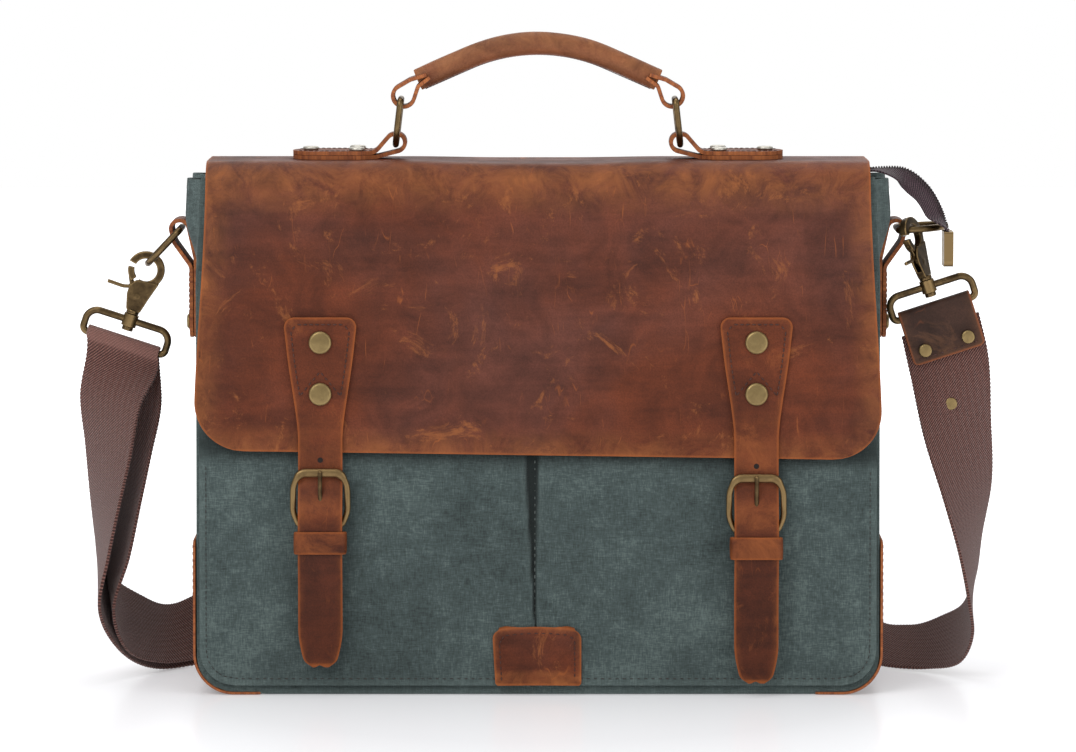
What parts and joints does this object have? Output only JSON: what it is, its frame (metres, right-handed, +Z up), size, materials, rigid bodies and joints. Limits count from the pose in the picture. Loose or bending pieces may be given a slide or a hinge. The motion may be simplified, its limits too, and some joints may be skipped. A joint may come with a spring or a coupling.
{
  "type": "satchel bag",
  "caption": "Canvas and leather satchel with a buckled leather flap, carrying handle, zipped main compartment and a webbing shoulder strap on swivel hooks.",
  "frame": {"origin": "middle of the base, on the floor", "axes": "+X to the right of someone facing the flap, +Y towards the back, +Z up"},
  "size_m": [0.5141, 0.1414, 0.3667],
  "materials": {
    "leather": "waxed, mottled and scuffed, with stitched edges",
    "canvas": "waxed plain-weave canvas, slate grey-green",
    "lining_cloth": "plain woven lining",
    "webbing": "twill-woven webbing with ribbed edges",
    "zip_cloth": "woven zip tape",
    "zip_coil": "moulded zip teeth",
    "antique_brass": "dark antique brass, brighter on worn edges",
    "rivet_brass": "pale antique brass, domed and polished",
    "nickel": "polished nickel plate",
    "snap_steel": "plated steel snap parts",
    "rope": "laid cotton rope"
  },
  "bodies": {
    "bag": {"front_panel": "canvas", "back_panel": "canvas", "pocket_panel": "canvas", "base_panel": "canvas", "lining": "lining_cloth", "centre_patch": "leather", "zip_tapes": "zip_cloth", "zip_teeth": "zip_coil", "zip_tail": "zip_cloth", "zip_end_clamp": "antique_brass", "flap_back": "leather", "snap_sockets": "snap_steel", "left_gusset": "canvas", "right_gusset": "canvas", "corner_guards": "leather", "left_d_ring_tab": "leather", "right_d_ring_tab": "leather", "d_ring_tab_rivets": "rivet_brass", "webbing_left_drop": "webbing", "webbing_right_drop": "webbing", "webbing_floor": "webbing", "webbing_return": "webbing"},
    "zip_slider": {"zip_slider": "antique_brass"},
    "zip_pull": {"zip_pull": "antique_brass"},
    "flap_top": {"flap_top": "leather", "handle_tabs": "leather", "handle_tab_rivets": "nickel"},
    "flap_front": {"flap_front": "leather", "flap_strap_rivets": "rivet_brass", "left_strap_upper": "leather", "right_strap_upper": "leather"},
    "handle": {"handle_grip": "leather", "handle_core": "rope", "handle_loops": "leather", "left_handle_ring": "antique_brass", "right_handle_ring": "antique_brass"},
    "strap_adjuster": {"strap_adjuster": "antique_brass"},
    "left_closure": {"left_strap_lower": "leather", "left_buckle_frame": "antique_brass", "left_buckle_chape": "leather", "left_snap_stud": "snap_steel"},
    "left_keeper": {"left_keeper": "leather"},
    "left_prong": {"left_buckle_prong": "antique_brass"},
    "left_d_ring": {"left_d_ring": "antique_brass"},
    "left_strap_ring": {"left_strap_ring": "antique_brass"},
    "left_hook": {"left_hook_body": "antique_brass"},
    "left_trigger": {"left_hook_trigger": "antique_brass"},
    "right_closure": {"right_strap_lower": "leather", "right_buckle_frame": "antique_brass", "right_buckle_chape": "leather", "right_snap_stud": "snap_steel"},
    "right_keeper": {"right_keeper": "leather"},
    "right_prong": {"right_buckle_prong": "antique_brass"},
    "right_d_ring": {"right_d_ring": "antique_brass"},
    "right_strap_ring": {"right_strap_ring": "antique_brass", "strap_end_leather": "leather", "strap_end_rivets": "rivet_brass"},
    "right_hook": {"right_hook_body": "antique_brass"},
    "right_trigger": {"right_hook_trigger": "antique_brass"}
  },
  "joints": [
    {"name": "flap_hinge", "type": "hinge", "parent": "bag", "child": "flap_top", "pos_m": [0, 0.02914, 0.293], "axis": [-1, 0, 0], "range_deg": [0, 110]},
    {"name": "flap_fold", "type": "hinge", "parent": "flap_top", "child": "flap_front", "pos_m": [0, -0.03315, 0.293], "axis": [-1, 0, 0], "range_deg": [0, 85]},
    {"name": "handle_flop", "type": "hinge", "parent": "flap_top", "child": "handle", "pos_m": [0, 0, 0.3157], "axis": [1, 0, 0], "range_deg": [-60, 60]},
    {"name": "zip_slide", "type": "slide", "parent": "bag", "child": "zip_slider", "axis": [1, 0, 0], "range_m": [0, 0.315]},
    {"name": "zip_pull_lift", "type": "hinge", "parent": "zip_slider", "child": "zip_pull", "pos_m": [-0.1647, 0, 0.2894], "axis": [0, -1, 0], "range_deg": [0, 5]},
    {"name": "adjuster_slide", "type": "slide", "parent": "bag", "child": "strap_adjuster", "axis": [1, 0, 0], "range_m": [-0.03, 0.03], "deforming": ["webbing_return"]},
    {"name": "left_closure_lift", "type": "hinge", "parent": "flap_front", "child": "left_closure", "pos_m": [-0.1206, -0.04921, 0.13578], "axis": [-1, 0, 0], "range_deg": [0, 80]},
    {"name": "left_prong_lift", "type": "hinge", "parent": "left_closure", "child": "left_prong", "pos_m": [-0.1206, -0.05144, 0.09428], "axis": [1, 0, 0], "range_deg": [0, 8]},
    {"name": "left_keeper_slide", "type": "slide", "parent": "left_closure", "child": "left_keeper", "axis": [0, -0.0632, -0.998], "range_m": [0, 0.006]},
    {"name": "left_d_ring_swing", "type": "hinge", "parent": "bag", "child": "left_d_ring", "pos_m": [-0.2003, 0, 0.2565], "axis": [0, -1, 0], "range_deg": [0, 3]},
    {"name": "left_strap_tilt", "type": "hinge", "parent": "bag", "child": "left_strap_ring", "pos_m": [-0.2187, 0, 0.2371], "axis": [0, 1, 0], "range_deg": [-8, 8], "deforming": ["webbing_left_drop"]},
    {"name": "left_hook_swivel", "type": "hinge", "parent": "left_strap_ring", "child": "left_hook", "pos_m": [-0.2291, 0, 0.205], "axis": [0.309, 0, 0.9511], "range_deg": [-15, 15]},
    {"name": "left_trigger_press", "type": "hinge", "parent": "left_hook", "child": "left_trigger", "pos_m": [-0.22477, 0, 0.21832], "axis": [0, 1, 0], "range_deg": [0, 12], "stiffness_Nm_per_rad": 0.004, "springref_deg": -17.19},
    {"name": "right_closure_lift", "type": "hinge", "parent": "flap_front", "child": "right_closure", "pos_m": [0.121, -0.04943, 0.13237], "axis": [-1, 0, 0], "range_deg": [0, 80]},
    {"name": "right_prong_lift", "type": "hinge", "parent": "right_closure", "child": "right_prong", "pos_m": [0.121, -0.05163, 0.09129], "axis": [1, 0, 0], "range_deg": [0, 8]},
    {"name": "right_keeper_slide", "type": "slide", "parent": "right_closure", "child": "right_keeper", "axis": [0, -0.0632, -0.998], "range_m": [0, 0.006]},
    {"name": "right_d_ring_swing", "type": "hinge", "parent": "bag", "child": "right_d_ring", "pos_m": [0.2016, 0, 0.2565], "axis": [0, 1, 0], "range_deg": [0, 8]},
    {"name": "right_strap_tilt", "type": "hinge", "parent": "bag", "child": "right_strap_ring", "pos_m": [0.2096, -0.015, 0.257], "axis": [0, 1, 0], "range_deg": [-1.5, 4], "deforming": ["webbing_right_drop"]},
    {"name": "right_hook_swivel", "type": "hinge", "parent": "right_strap_ring", "child": "right_hook", "pos_m": [0.2178, -0.015, 0.2254], "axis": [-0.309, 0, 0.9511], "range_deg": [-4, 10]},
    {"name": "right_trigger_press", "type": "hinge", "parent": "right_hook", "child": "right_trigger", "pos_m": [0.21347, -0.015, 0.23872], "axis": [-0.8397, 0.4695, -0.2728], "range_deg": [0, 12], "stiffness_Nm_per_rad": 0.004, "springref_deg": -17.19}
  ]
}
